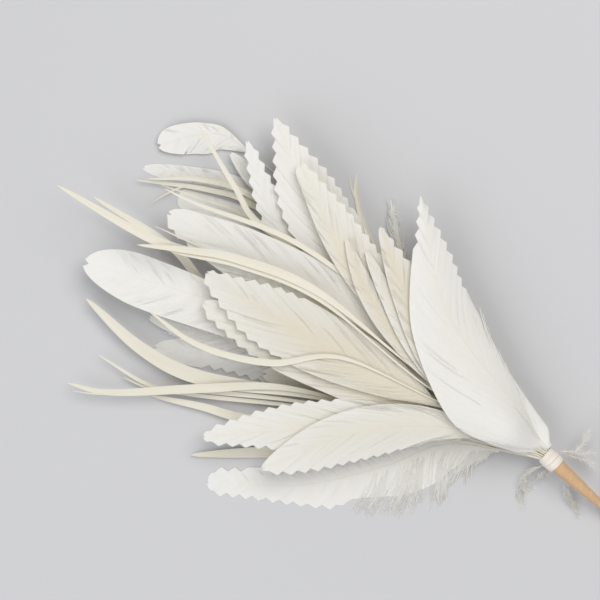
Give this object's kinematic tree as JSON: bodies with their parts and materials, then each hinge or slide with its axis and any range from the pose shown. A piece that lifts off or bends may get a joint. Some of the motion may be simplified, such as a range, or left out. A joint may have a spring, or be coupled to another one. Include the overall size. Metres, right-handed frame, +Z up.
{
  "type": "feather flower mount",
  "caption": "Spray of white goose feathers with pinked edges, slim pointed biots and loose down, bound with thread on a taped wire stem, for trimming a hat; lies flat",
  "frame": {"origin": "on the table, under the middle of the whole spray", "axes": "+X from the feather tips towards the stem, across the spray as it is seen from above; +Y to the upper edge of that view; +Z up from the table"},
  "size_m": [0.2272, 0.1704, 0.0255],
  "materials": {
    "feather": "white goose vane, soft satin",
    "biot": "ivory horn-like barb, satin",
    "down": "white loose down, matt",
    "thread": "white binding thread, matt",
    "stem_tape": "tan crepe paper tape, matt",
    "wire_paper": "pale yellow-green paper covering, matt"
  },
  "bodies": {
    "root": {"front_petal": "feather", "second_petal": "feather", "slim_white_petal": "feather", "slim_inner_petal": "feather", "upper_inner_petal": "feather", "lower_front_petal": "feather", "lower_petal": "feather", "cream_centre_petal": "feather", "lower_stepped_petal": "feather", "wide_upper_feather": "feather", "upper_petal": "feather", "upper_left_petal": "feather", "long_left_feather": "feather", "inner_centre_petal": "feather", "fringed_back_petal": "feather", "back_petal": "feather", "round_feather": "feather", "small_feather": "feather", "curled_feather": "feather", "grey_back_feather": "feather", "wispy_feather": "feather", "bottom_petal": "feather", "straight_left_biot": "biot", "long_left_biot": "biot", "upper_edge_biot": "biot", "thin_left_biot": "biot", "band_biot": "biot", "crossing_biot": "biot", "left_biot": "biot", "long_lower_biot": "biot", "wide_lower_biot": "biot", "thin_lower_biot": "biot", "short_lower_biot": "biot", "low_biot": "biot", "bottom_biot": "biot", "upper_fine_biot": "biot", "upper_biot": "biot", "upper_low_biot": "biot", "top_biot": "biot", "upper_down_tuft": "down", "lower_down_tuft": "down", "stem_down_tuft": "down", "thread_collar": "thread", "taped_stem": "stem_tape", "stem_wire": "wire_paper"}
  },
  "joints": []
}
